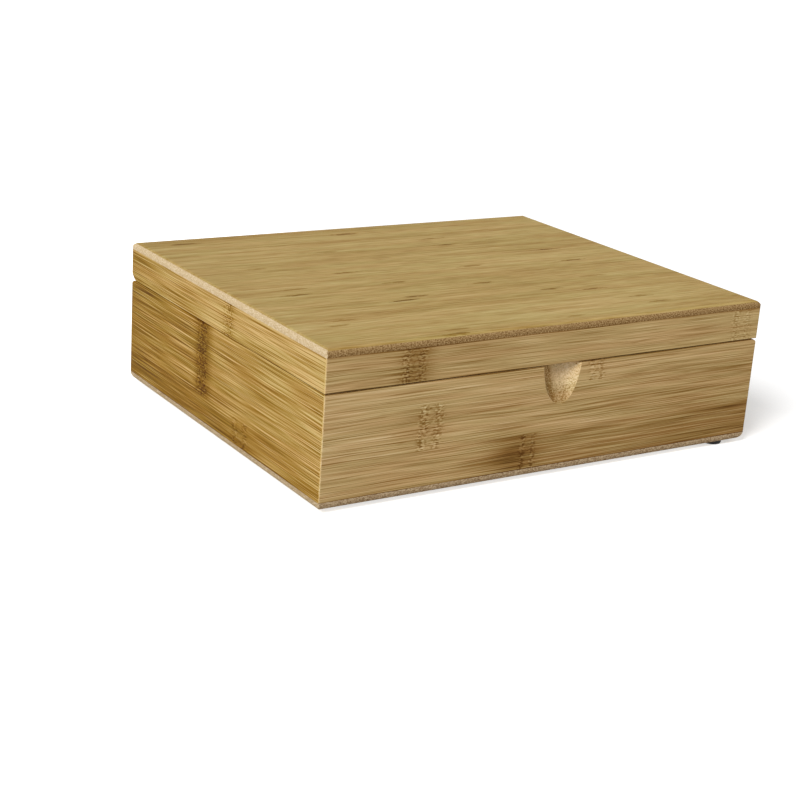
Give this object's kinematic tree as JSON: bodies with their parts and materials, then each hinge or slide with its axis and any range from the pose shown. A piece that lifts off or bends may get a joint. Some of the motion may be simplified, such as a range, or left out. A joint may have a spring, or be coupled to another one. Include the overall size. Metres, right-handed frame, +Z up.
{
  "type": "hinged tea bag box",
  "caption": "Hinged-lid bamboo box for tea bags, with a finger notch in its front wall, interlocking dividers inside, butt hinges at the back and rubber feet.",
  "frame": {"origin": "on the surface that the feet stand on, under the middle of the box", "axes": "+X to the right along the front, +Y from the front (notch) to the back (hinges), +Z up"},
  "size_m": [0.2922, 0.2338, 0.0879],
  "materials": {
    "bamboo_board": "flat-pressed bamboo boards, satin lacquer",
    "bamboo_panel": "edge-glued narrow bamboo strips, satin lacquer",
    "bamboo_divider": "bamboo slats, satin",
    "hinge_brass": "satin",
    "foot_rubber": "matt black"
  },
  "bodies": {
    "base": {"base_front_wall": "bamboo_board", "base_back_wall": "bamboo_board", "base_left_wall": "bamboo_board", "base_right_wall": "bamboo_board", "bottom_panel": "bamboo_panel", "long_divider_1": "bamboo_divider", "long_divider_2": "bamboo_divider", "cross_divider_1": "bamboo_divider", "cross_divider_2": "bamboo_divider", "cross_divider_3": "bamboo_divider", "foot_front_left": "foot_rubber", "foot_front_right": "foot_rubber", "foot_back_left": "foot_rubber", "foot_back_right": "foot_rubber", "hinge_left_lower_leaf": "hinge_brass", "hinge_left_pin": "hinge_brass", "hinge_left_lower_screws": "hinge_brass", "hinge_right_lower_leaf": "hinge_brass", "hinge_right_pin": "hinge_brass", "hinge_right_lower_screws": "hinge_brass"},
    "lid": {"lid_front_rail": "bamboo_board", "lid_back_rail": "bamboo_board", "lid_left_rail": "bamboo_board", "lid_right_rail": "bamboo_board", "top_panel": "bamboo_panel", "hinge_left_upper_leaf": "hinge_brass", "hinge_left_upper_screws": "hinge_brass", "hinge_right_upper_leaf": "hinge_brass", "hinge_right_upper_screws": "hinge_brass"}
  },
  "joints": [
    {"name": "lid_hinge", "type": "hinge", "parent": "base", "child": "lid", "pos_m": [0, 0.11395, 0.06485], "axis": [-1, 0, 0], "range_deg": [0, 102]}
  ]
}
